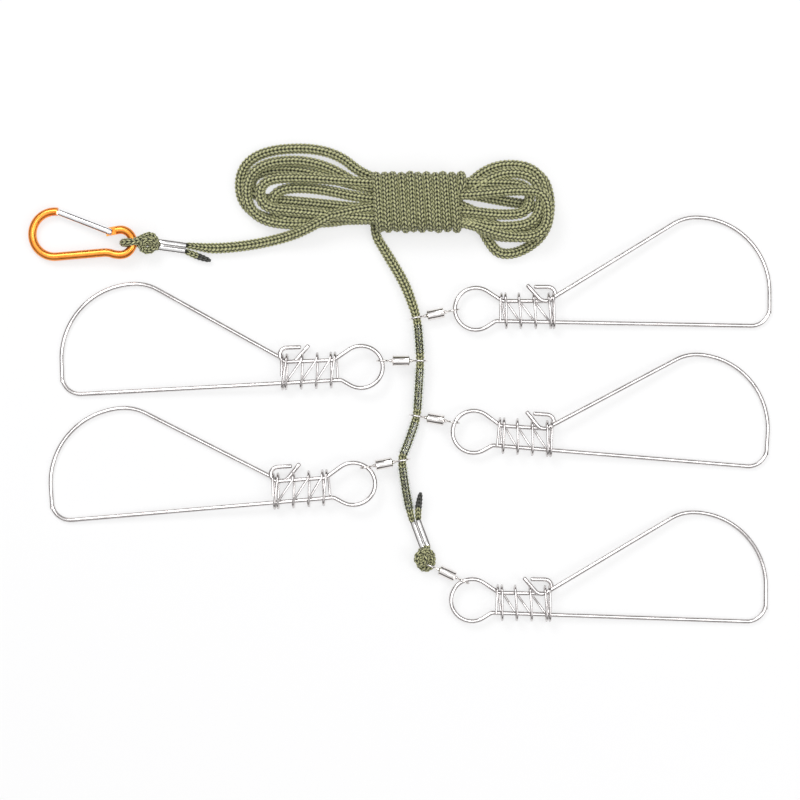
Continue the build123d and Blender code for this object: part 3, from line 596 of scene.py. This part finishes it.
# Section of a turn: place across the waist, height and share of the pitch
SECTION = [
    (6.8, 14.5, 0.17), (10.8, 11.4, 0.26), (10.8, 4.9, 0.35), (6.8, WRAP_FLOOR, 0.45),
    (-8.6, WRAP_FLOOR, 0.65), (-12.9, 4.9, 0.75), (-12.9, 11.4, 0.84), (-8.6, 14.5, 0.94),
]
LAST_SHARE = 0.6  # where the last turn leaves the wrap
# Turns lie a little apart from one another and differ in size
LOOSENESS = [
    (0.5, 1.03), (0.1, 1.0), (-0.2, 1.03), (0.1, 0.985), (0.0, 1.02), (-0.1, 1.0), (0.15, 1.035),
    (0.0, 0.99), (-0.15, 1.02), (0.1, 1.0), (0.0, 1.0),
]
wrap_route = [in_hank(15.4, 2.0, 11.6), in_hank(17.6, 2.6, 11.8), in_hank(20.2, 3.6, 12.8)]
for turn, (shift, size) in enumerate(LOOSENESS):
    for v, z, share in SECTION:
        if turn == len(LOOSENESS) - 1 and share > LAST_SHARE:
            break
        u = WRAP_START + shift - WRAP_PITCH * (turn + share)
        wrap_route.append(in_hank(u, v * size, WRAP_FLOOR + (z - WRAP_FLOOR) * size))
wrap_route += [in_hank(-18.9, -8.6, 2.2), in_hank(-18.3, -16.0, 2.3), in_hank(-16.5, -19.0, 2.4)]
wrap, wrap_line = lay_cord(
    "cord_wrap_knit", "cord_wrap", wrap_route, WRAP,
    (between(STRAND, WRAP), between(CORD, WRAP)), resolution=16,
)

# Drop, from the wrap to the trunk
drop_route = [
    (-10.4, 81.5, 2.4), (-6.0, 74.4, 2.4), (-2.8, 69.2, 2.8), (1.2, 62.4, 3.2), (4.3, 55.4, 3.6),
    (6.5, 48.9, 3.65),
]
drop, drop_line = lay_cord(
    "cord_drop_knit", "cord_drop", drop_route, CORD, (between(CORD, WRAP), between(CORD, DRAWN))
)

# Trunk, through the swivels' eyes and the spacers, to the lower sleeve
trunk_route = [
    (5.7, 51.3, 3.65), (7.7, 45.6, 3.6), (8.7, 36.0, 4.4), (9.2, 27.6, 5.5), (9.2, 23.0, 5.6),
    (8.4, 10.0, 4.4), (7.9, 1.8, 3.7), (7.2, -2.2, 3.7), (3.6, -12.6, 4.7), (1.0, -18.6, 5.6),
    (0.9, -21.8, 5.6), (2.3, -32.0, 4.5), (4.6, -44.6, 3.7), (5.8, -48.7, 3.65),
]
trunk, trunk_line = lay_cord(
    "cord_trunk_knit", "cord_trunk", trunk_route, DRAWN, (between(CORD, DRAWN), PRESSED)
)

# Upper eye: once round the carabiner's rod, and knotted beside it
upper_loop_route = [
    (-110.6, 80.0, 2.5), (-115.0, 79.7, 2.0), (-120.0, 79.3, 1.9), (-125.0, 79.3, 2.1),
    (-127.2, 79.3, 5.9), (-125.0, 79.4, 9.9), (-120.6, 79.6, 9.7), (-117.4, 81.6, 7.6),
    (-114.4, 83.0, 6.0), (-111.9, 81.0, 5.6), (-112.4, 77.2, 6.2), (-115.4, 75.4, 6.6),
    (-118.4, 76.8, 7.4), (-117.2, 79.8, 9.8), (-114.2, 80.4, 9.8), (-112.4, 78.8, 7.6),
    (-113.0, 77.0, 4.2), (-110.9, 77.5, 2.5),
]
upper_loop, upper_loop_line = lay_cord(
    "upper_loop_knit", "upper_eye_loop", upper_loop_route, LOOP, (PRESSED, PRESSED)
)
# Lower eye: through the last swivel and knotted over itself
lower_loop_route = [
    (10.3, -60.4, 3.65), (8.9, -63.6, 2.6), (8.6, -67.4, 2.6), (10.8, -70.2, 3.2), (14.0, -69.2, 3.6),
    (14.8, -66.4, 3.4), (14.2, -62.6, 4.6), (11.2, -62.0, 7.0), (8.0, -63.8, 7.2), (8.2, -67.0, 6.8),
    (10.6, -67.1, 7.4), (12.1, -65.5, 8.2), (11.1, -63.8, 8.2), (11.7, -61.6, 5.6), (12.8, -59.5, 3.65),
]
lower_loop, lower_loop_line = lay_cord(
    "lower_loop_knit", "lower_eye_loop", lower_loop_route, LOOP, (PRESSED, PRESSED)
)

# Singed tails
SINGED_FROM = 0.4  # of a tail's length
upper_tail_route = [(-98.6, 75.7, 2.4), (-95.0, 74.2, 2.2), (-91.0, 72.7, 1.9), (-86.9, 71.3, 1.7)]
upper_tail, _ = lay_cord(
    "upper_tail_knit", "upper_tail", upper_tail_route, TAIL, (PRESSED, TAIL), singed=SINGED_FROM
)
lower_tail_route = [(8.4, -47.7, 3.65), (8.2, -43.6, 4.2), (8.7, -39.6, 4.3), (9.5, -35.0, 4.25)]
lower_tail, _ = lay_cord(
    "lower_tail_knit", "lower_tail", lower_tail_route, TAIL, (PRESSED, TAIL), singed=SINGED_FROM
)


# Wire snaps, drawn in the plane of one snap in millimetres: ring at the origin, legs along x
WIRE_RADIUS, COIL_RADIUS = 1.0, 0.55
RING_RADIUS = 9.65
RING_OPENING = 57.0  # degrees from x to where the ring runs into a leg
LEG_TOP, LEG_LOW = 3.6, -5.6
HOOK_X, HOOK_RADIUS, HOOK_BAR = 33.2, 3.25, 6.6
FAR_X, HINGE_Y = 135.0, 3.0
FALL = tan(radians(1.04))  # of the lower leg
FLEX_LOW, FLEX_TOP = -2.0, 8.0  # the stretch of wire that bends when the arm opens
BOW_RADIUS, CROWN_RADIUS = 34.0, 20.0
SLANT, SLANT_RUN = 31.6, 69.9  # angle and length of the arm's straight run
ARM_LIFT = tan(radians(1.3))
TIP_RISE = (-7.7, 8.6)  # from the arm's V corner to its tip
NECK_BEND, FAR_BEND, V_BEND = 3.0, 8.4, 4.0
LOOP_BACK, LOOP_UP = 43.0, 6.0  # from the arm's hinge to the middle of the model's fish loop
TIP_STEPS = (0.0, 0.15, 0.4, 0.8, 3.0)  # places of the first points from a free end
ROUND_END = (0.45, 0.75, 0.93, 1.0)  # shares of the wire's radius there
STRETCH = {2: 1.02, 4: 1.03}  # hand-bent wires differ a little in length


def arc(middle, radius, first, last, count):
    angles = np.radians(np.linspace(first, last, count))
    return [(middle[0] + radius * cos(t), middle[1] + radius * sin(t)) for t in angles]


def bend(before, corner, after, radius, count=9):
    """A round bend between two straight runs of wire."""
    p, c, n = (np.array(q, float) for q in (before, corner, after))
    run_in = (p - c) / np.linalg.norm(p - c)
    run_out = (n - c) / np.linalg.norm(n - c)
    half = np.arccos(np.clip(run_in @ run_out, -1, 1)) / 2
    middle = c + (run_in + run_out) / np.linalg.norm(run_in + run_out) * radius / sin(half)
    from_angle = np.degrees(np.arctan2(*(c + run_in * radius / tan(half) - middle)[::-1]))
    to_angle = np.degrees(np.arctan2(*(c + run_out * radius / tan(half) - middle)[::-1]))
    sweep = (to_angle - from_angle + 180) % 360 - 180
    return arc(middle, radius, from_angle, from_angle + sweep, count)


open_at = (RING_RADIUS * cos(radians(RING_OPENING)), RING_RADIUS * sin(radians(RING_OPENING)))
slope = tan(radians(90 - RING_OPENING))
neck_top = (open_at[0] + (open_at[1] - LEG_TOP) / slope, LEG_TOP)
neck_low = (open_at[0] + (open_at[1] + LEG_LOW) / slope, LEG_LOW)
far_low = (FAR_X, LEG_LOW - (FAR_X - neck_low[0]) * FALL)
frame_wire = [(HOOK_X - HOOK_BAR + d, LEG_TOP + 2 * HOOK_RADIUS) for d in TIP_STEPS]
frame_wire += arc((HOOK_X, LEG_TOP + HOOK_RADIUS), HOOK_RADIUS, 90, -90, 15)
frame_wire += bend((HOOK_X, LEG_TOP), neck_top, open_at, NECK_BEND)
frame_wire += arc((0, 0), RING_RADIUS, RING_OPENING, 360 - RING_OPENING, 41)
frame_wire += bend((open_at[0], -open_at[1]), neck_low, far_low, NECK_BEND)
frame_wire += bend(neck_low, far_low, (FAR_X, FLEX_LOW), FAR_BEND, 13)
frame_wire += [(FAR_X, FLEX_LOW)]
flex_wire = [(FAR_X, y) for y in np.linspace(FLEX_LOW, FLEX_TOP, 13)]
bow_at = (FAR_X - BOW_RADIUS, FLEX_TOP)
crown_at = (bow_at[0], FLEX_TOP + BOW_RADIUS - CROWN_RADIUS)
slant_start = (
    crown_at[0] + CROWN_RADIUS * cos(radians(90 + SLANT)),
    crown_at[1] + CROWN_RADIUS * sin(radians(90 + SLANT)),
)
v_corner = (
    slant_start[0] - SLANT_RUN * cos(radians(SLANT)),
    slant_start[1] - SLANT_RUN * sin(radians(SLANT)),
)
v_tip = (v_corner[0] + TIP_RISE[0], v_corner[1] + TIP_RISE[1])
tip_way = np.array(v_tip) - np.array(v_corner)
tip_way /= np.linalg.norm(tip_way)
arm_wire = arc(bow_at, BOW_RADIUS, 0, 90, 31)
arm_wire += arc(crown_at, CROWN_RADIUS, 90, 90 + SLANT, 9)[1:]
arm_wire += bend(slant_start, v_corner, v_tip, V_BEND, 13)
arm_wire += [tuple(np.array(v_tip) - tip_way * d) for d in reversed(TIP_STEPS)]


def lifted(points):
    """Points of the spring arm, which leans out to pass in front of the hook."""
    return [(x, y, (FAR_X - x) * ARM_LIFT) for x, y in points]


def snap_plane(number):
    """Matrix from a snap's own plane, in millimetres, to the table, by the model's hinge and loop."""
    mount = mounts[f"fish_snap_{number}"]
    hinge = Vector(joints[f"arm_{number}_open"]["pos_m"])
    normal = Vector(mount["axis"]).normalized()
    chord = hinge - Vector(mount["pos_m"])
    x_way = (Matrix.Rotation(np.arctan2(LOOP_UP, LOOP_BACK), 3, normal) @ chord).normalized()
    y_way = normal.cross(x_way)
    turned = Matrix((x_way, y_way, normal)).transposed().to_4x4() @ Matrix.Scale(MM, 4)
    origin = hinge - turned.to_3x3() @ Vector((FAR_X, HINGE_Y, 0))
    return Matrix.Translation(origin) @ turned @ Matrix.Scale(STRETCH.get(number, 1.0), 4, (1, 0, 0))


def wire_mesh(name, points, radius, round_start=False, round_end=False, filled=True):
    """Round wire, or an open tube, along points as a mesh."""
    bpy.ops.curve.primitive_bezier_curve_add()
    piece = bpy.context.object
    piece.name = name
    curve = piece.data
    curve.dimensions = "3D"
    curve.splines.clear()
    spline = curve.splines.new("POLY")
    spline.points.add(len(points) - 1)
    for place, point in zip(spline.points, points):
        place.co = (*point, 1) if len(point) == 3 else (*point, 0, 1)
    for i, size in enumerate(ROUND_END):
        if round_start:
            spline.points[i].radius = size
        if round_end:
            spline.points[-1 - i].radius = size
    curve.bevel_depth = radius
    curve.bevel_resolution = 4
    curve.use_fill_caps = filled
    make_active(piece)
    bpy.ops.object.convert(target="MESH")
    bpy.ops.object.shade_smooth()
    return bpy.context.object


# Lock coil round the two legs: its outer sides, ends and where its turns cross the hook's leg
COIL_TOP, COIL_LOW, COIL_BACK, COIL_FRONT = 7.0, -8.8, -1.9, 4.25
COIL_START, COIL_END = 10.9, 35.9
COIL_X = (11.6, 13.5, 19.6, 26.4, 33.3, 35.4)
COIL_TILT, TILT_PITCH = 0.2, 5.0  # the front of a turn leans by this share of its pitch, or of this one
COIL_DRIFT = 0.3  # along the legs, as the wire leaves a bend
COIL_TURN = np.radians((60, 30, 0, -30, -60))


def coil_points():
    """Lock coil with closed turns at its ends and open ones between."""
    half = (COIL_FRONT - COIL_BACK) / 2
    mid = (COIL_FRONT + COIL_BACK) / 2
    near, far = COIL_TOP - half, COIL_LOW + half

    def round_leg(x, edge, hand):
        turn = hand * COIL_TURN
        return [(x, edge + hand * (half * cos(t) - half), mid + half * sin(t)) for t in turn]

    points = [(COIL_START, far, COIL_FRONT), (11.2, near, COIL_FRONT)]
    for x, following in zip(COIL_X, COIL_X[1:]):
        foot = following + COIL_TILT * min(following - x, TILT_PITCH)
        points += round_leg(x, COIL_TOP, 1)
        points += [(x + COIL_DRIFT, near, COIL_BACK), (foot - COIL_DRIFT, far, COIL_BACK)]
        points += round_leg(foot, COIL_LOW, -1)
        points += [(foot - 0.1, far, COIL_FRONT), (following + 0.1, near, COIL_FRONT)]
    points += round_leg(COIL_X[-1], COIL_TOP, 1)
    points += [(COIL_X[-1] + COIL_DRIFT, near, COIL_BACK), (COIL_END, -3.0, COIL_BACK)]
    return points


def placed(template, name, matrix, material):
    """A copy of a template, brought to its place and given its material."""
    piece = template.copy()
    piece.data = template.data.copy()
    piece.name = name
    bpy.context.scene.collection.objects.link(piece)
    piece.data.transform(matrix)
    piece.data.materials.clear()
    piece.data.materials.append(material)
    return piece


frame_template = wire_mesh("snap_frame", frame_wire, WIRE_RADIUS, round_start=True)
flex_template = wire_mesh("snap_flex", flex_wire, WIRE_RADIUS)
arm_template = wire_mesh("snap_arm", lifted(arm_wire), WIRE_RADIUS, round_end=True)
coil_template = wire_mesh("lock_coil", coil_points(), COIL_RADIUS)
for n in SNAPS:
    plane = snap_plane(n)
    wire = placed(frame_template, f"snap_frame_{n}", plane, stainless)
    dress(wire, f"snap_{n}", f"snap_wire_{n}")
    flex = placed(flex_template, f"snap_flex_{n}", plane, stainless)
    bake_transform(flex)
    arm = placed(arm_template, f"snap_arm_{n}", plane, stainless)
    dress(arm, f"arm_{n}", f"spring_arm_{n}")
    coil = placed(coil_template, f"lock_coil_wire_{n}", plane, stainless)
    dress(coil, f"snap_{n}", f"lock_coil_{n}")
    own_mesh(coil)
for template in (frame_template, flex_template, arm_template, coil_template):
    bpy.data.objects.remove(template)


# Swivel barrels: a turned body with a rim and a small neck at each end, drawn along x in millimetres
BARREL = [
    (-4.4, 0.75), (-4.15, 1.0), (-3.95, 1.25), (-3.9, 2.15), (-3.65, 2.5), (-3.25, 2.5), (-3.0, 2.4),
]
BARREL += [(-x, r) for x, r in reversed(BARREL)]
# Double sleeves, drawn likewise
SLEEVE_LENGTH, SLEEVE_RADIUS = 13, 1.5
SLEEVE_WIDEN = 1.85
SLEEVE_WAIST, WAIST_ROUND = 0.42, 1.3  # depth of the press between the cords, and its form
SLEEVE_WALL, SLEEVE_RIM = 0.4, 0.12
SLEEVE_HEADINGS = {"upper_sleeve": 172.2, "lower_sleeve": -69.6}  # degrees on the table


def turned_mesh(name, profile, sides=36):
    """A body turned about x from its profile."""
    mesh = bpy.data.meshes.new(name)
    edges = [(i, i + 1) for i in range(len(profile) - 1)]
    mesh.from_pydata([(x, r, 0) for x, r in profile], edges, [])
    piece = new_piece(name, mesh)
    make_active(piece)
    bpy.ops.object.mode_set(mode="EDIT")
    bpy.ops.mesh.select_all(action="SELECT")
    bpy.ops.mesh.spin(steps=sides, angle=2 * pi, center=(0, 0, 0), axis=(1, 0, 0))
    bpy.ops.mesh.select_all(action="SELECT")
    bpy.ops.mesh.remove_doubles(threshold=0.001)
    bpy.ops.mesh.normals_make_consistent(inside=False)
    bpy.ops.object.mode_set(mode="OBJECT")
    bpy.ops.object.shade_smooth_by_angle(angle=radians(32))
    return piece


def add_wall(piece, thickness):
    """A wall inside an open tube."""
    wall = piece.modifiers.new("wall", "SOLIDIFY")
    wall.thickness = thickness
    wall.offset = -1


def sleeve_mesh(name):
    """A double sleeve along x: a thin tube pressed to a figure of eight round the two cords."""
    bpy.ops.mesh.primitive_cylinder_add(
        vertices=56, radius=SLEEVE_RADIUS, depth=SLEEVE_LENGTH, end_fill_type="NOTHING",
        rotation=(0, pi / 2, 0),
    )
    piece = bpy.context.object
    piece.name = name
    make_active(piece)
    bpy.ops.object.transform_apply(location=True, rotation=True, scale=True)
    bpy.ops.object.mode_set(mode="EDIT")
    bpy.ops.mesh.select_all(action="SELECT")
    bpy.ops.mesh.subdivide(number_cuts=3)
    bpy.ops.transform.resize(value=(1, SLEEVE_WIDEN, 1))
    bpy.ops.object.mode_set(mode="OBJECT")
    for vertex in piece.data.vertices:
        vertex.co.z *= 1 - SLEEVE_WAIST * max(0.0, 1 - abs(vertex.co.y)) ** WAIST_ROUND
    add_wall(piece, SLEEVE_WALL)
    rim = piece.modifiers.new("rim", "BEVEL")
    rim.width = SLEEVE_RIM
    rim.segments = 2
    rim.limit_method = "ANGLE"
    make_active(piece)
    for modifier in ("wall", "rim"):
        bpy.ops.object.modifier_apply(modifier=modifier)
    bpy.ops.object.shade_smooth_by_angle(angle=radians(35))
    return piece


def along_matrix(middle, way):
    """Matrix that lays a piece drawn along x, in millimetres, along a direction on the table."""
    x_way = Vector(way).normalized()
    y_way = Vector((0, 0, 1)).cross(x_way).normalized()
    turned = Matrix((x_way, y_way, x_way.cross(y_way))).transposed().to_4x4() @ Matrix.Scale(MM, 4)
    return Matrix.Translation(middle) @ turned


def node_middle(name):
    node = nodes[name]
    corners = [node.matrix_world @ Vector(corner) for corner in node.bound_box]
    return sum(corners, Vector()) / len(corners)


barrel_template = turned_mesh("swivel_body", BARREL)
sleeve_template = sleeve_mesh("double_sleeve")
for n in SNAPS:
    matrix = along_matrix(node_middle(f"swivel_barrel_{n}"), joints[f"barrel_{n}_spin"]["axis"])
    barrel = placed(barrel_template, f"swivel_body_{n}", matrix, nickel)
    dress(barrel, f"barrel_{n}", f"swivel_barrel_{n}")
for name, heading in SLEEVE_HEADINGS.items():
    way = (cos(radians(heading)), sin(radians(heading)), 0)
    matrix = along_matrix(node_middle(name), way)
    sleeve = placed(sleeve_template, name + "_pressed", matrix, pressed)
    dress(sleeve, "cord", name)
for template in (barrel_template, sleeve_template):
    bpy.data.objects.remove(template)

# Clear spacers over the trunk
SPACER_RADIUS, SPACER_WALL = 2.4 * MM, 0.22 * MM


def spacer_tube(number):
    """A clear tube over the trunk, along the run that the model's own spacer covers."""
    node = nodes[f"spacer_{number}"]
    reach = [(node.matrix_world @ Vector(corner)).y for corner in node.bound_box]
    run = [point for point in trunk_line if min(reach) <= point[1] <= max(reach)]
    piece = wire_mesh(f"spacer_tube_{number}", run, SPACER_RADIUS, filled=False)
    add_wall(piece, SPACER_WALL)
    make_active(piece)
    bpy.ops.object.modifier_apply(modifier="wall")
    bpy.ops.object.shade_smooth_by_angle(angle=radians(40))
    piece.data.materials.append(clear_tube)
    return piece


for n in SPACERS:
    dress(spacer_tube(n), "cord", f"spacer_{n}")


# Swivel eyes and carabiner keep the model's own shapes
def finish_node(name, material):
    node = nodes[name]
    node.data.materials.clear()
    node.data.materials.append(material)


for n in SNAPS:
    for piece in ("cord_eye", "snap_eye"):
        finish_node(f"{piece}_{n}", nickel)
finish_node("carabiner_body", anodised)
for name in ("carabiner_gate", "gate_pin"):
    finish_node(name, satin)
finish_node("gate_spring", stainless)

# White table, which glows a little where it is seen, straight or in the metal and the clear tubes
TABLE_SIZE, TABLE_DROP = 6, 0.0002
GLOW_SHARE = 0.62
bpy.ops.mesh.primitive_plane_add(size=TABLE_SIZE, location=(0, 0, -TABLE_DROP))
table = bpy.context.object
table.name = "white_table"
white, white_tree, white_shader = new_material("white_table")
white_look = {"Base Color": (0.8, 0.8, 0.805, 1), "Roughness": 0.8, "Specular IOR Level": 0.1}
set_inputs(white_shader, white_look)
glow = add_node(white_tree, "ShaderNodeEmission", 0, -300)
set_inputs(glow, {"Color": (1, 1, 1, 1), "Strength": 1.0})
rays = add_node(white_tree, "ShaderNodeLightPath", -600, 400)
straight_or_mirrored = add_node(white_tree, "ShaderNodeMath", -350, 400, operation="MAXIMUM")
seen = add_node(white_tree, "ShaderNodeMath", -150, 400, operation="MAXIMUM")
share = add_node(white_tree, "ShaderNodeMath", 50, 400, operation="MULTIPLY")
set_inputs(share, {1: GLOW_SHARE})
mixed = add_node(white_tree, "ShaderNodeMixShader", 350, 100)
join(
    white_tree,
    (rays, "Is Camera Ray", straight_or_mirrored, 0),
    (rays, "Is Glossy Ray", straight_or_mirrored, 1),
    (straight_or_mirrored, "Value", seen, 0),
    (rays, "Is Transmission Ray", seen, 1),
    (seen, "Value", share, 0),
    (share, "Value", mixed, "Fac"),
    (white_shader, "BSDF", mixed, 1),
    (glow, "Emission", mixed, 2),
    (mixed, "Shader", white_tree.nodes["Material Output"], "Surface"),
)
table.data.materials.append(white)


def softbox(name, location, size, power):
    """A rectangular lamp that faces the part's origin."""
    bpy.ops.object.light_add(type="AREA", location=location)
    lamp = bpy.context.object
    lamp.name = name
    lamp.data.shape = "RECTANGLE"
    lamp.data.size, lamp.data.size_y = size
    lamp.data.energy = power
    lamp.rotation_euler = (-Vector(location)).to_track_quat("-Z", "Y").to_euler()


softbox("key_softbox", (-0.55, 0.85, 1.1), (0.7, 0.5), 7.0)
softbox("fill_softbox", (0.8, -0.3, 0.9), (0.5, 0.5), 2.5)
softbox("overhead_strip", (0.2, 0.1, 1.8), (0.45, 1.4), 11.0)

# Studio sky: dim at the horizon and bright above
SKY = [
    (0.0, (0.10, 0.09, 0.09)), (0.42, (0.15, 0.14, 0.135)), (0.72, (0.95, 0.95, 0.96)), (1.0, (1, 1, 1)),
]
world = bpy.data.worlds.new("studio")
bpy.context.scene.world = world
world.use_nodes = True
sky = world.node_tree
backdrop = sky.nodes["Background"]
direction = add_node(sky, "ShaderNodeTexCoord", -900, 0)
split = add_node(sky, "ShaderNodeSeparateXYZ", -700, 0)
fade = ramp(sky, -450, 0, SKY)
set_inputs(backdrop, {"Strength": 0.9})
join(
    sky,
    (direction, "Generated", split, "Vector"),
    (split, "Z", fade, "Fac"),
    (fade, "Color", backdrop, "Color"),
)

bpy.context.view_layer.update()
